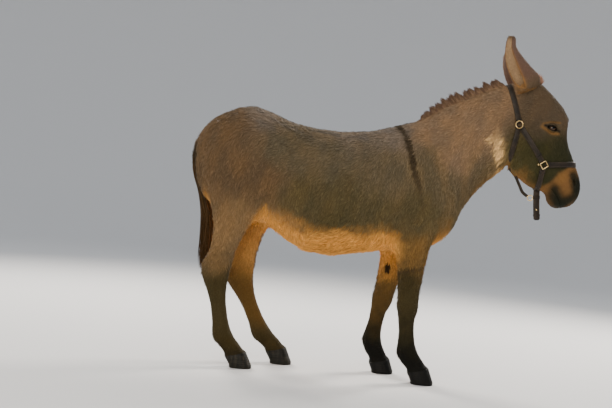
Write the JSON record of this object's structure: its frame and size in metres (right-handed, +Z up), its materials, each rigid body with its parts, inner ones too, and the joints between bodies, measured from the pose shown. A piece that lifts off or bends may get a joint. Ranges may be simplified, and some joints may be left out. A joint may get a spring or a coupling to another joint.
{
  "type": "donkey",
  "caption": "Standing donkey, life size, with long ears, short upright mane, tufted tail and shoulder cross, wearing a leather head collar.",
  "frame": {"origin": "on the ground, below the middle of the whole animal", "axes": "+X forward, from the tail to the muzzle, +Y to the animal's left, +Z up"},
  "size_m": [1.735, 0.4716, 1.549],
  "materials": {
    "coat": "short winter coat, mid brown, paler golden belly, inner legs and muzzle, dark back stripe and shoulder cross",
    "long_hair": "coarse dark brown to black hair of mane, forelock and tail",
    "eye": "wet, very dark brown eye with a horizontal pupil",
    "hoof": "dark grey-brown horn with growth rings, dry and lightly soiled",
    "halter_leather": "dark brown harness leather, stitched, worn along its edges",
    "halter_brass": "rubbed brass"
  },
  "bodies": {
    "root": {"trunk": "coat", "neck": "coat", "head": "coat", "ear_right": "coat", "ear_left": "coat", "eye_right": "eye", "eye_left": "eye", "foreleg_right": "coat", "foreleg_left": "coat", "hindleg_right": "coat", "hindleg_left": "coat", "forehoof_right": "hoof", "forehoof_left": "hoof", "hindhoof_right": "hoof", "hindhoof_left": "hoof", "mane": "long_hair", "forelock": "long_hair", "tail": "long_hair", "halter_crownpiece": "halter_leather", "halter_throatlatch": "halter_leather", "halter_cheek_right": "halter_leather", "halter_cheek_left": "halter_leather", "halter_noseband": "halter_leather", "halter_chin_strap": "halter_leather", "halter_jaw_strap": "halter_leather", "halter_strap_end": "halter_leather", "halter_ear_ring_right": "halter_brass", "halter_ear_ring_left": "halter_brass", "halter_square_right": "halter_brass", "halter_square_left": "halter_brass", "halter_chin_ring": "halter_brass"}
  },
  "joints": []
}
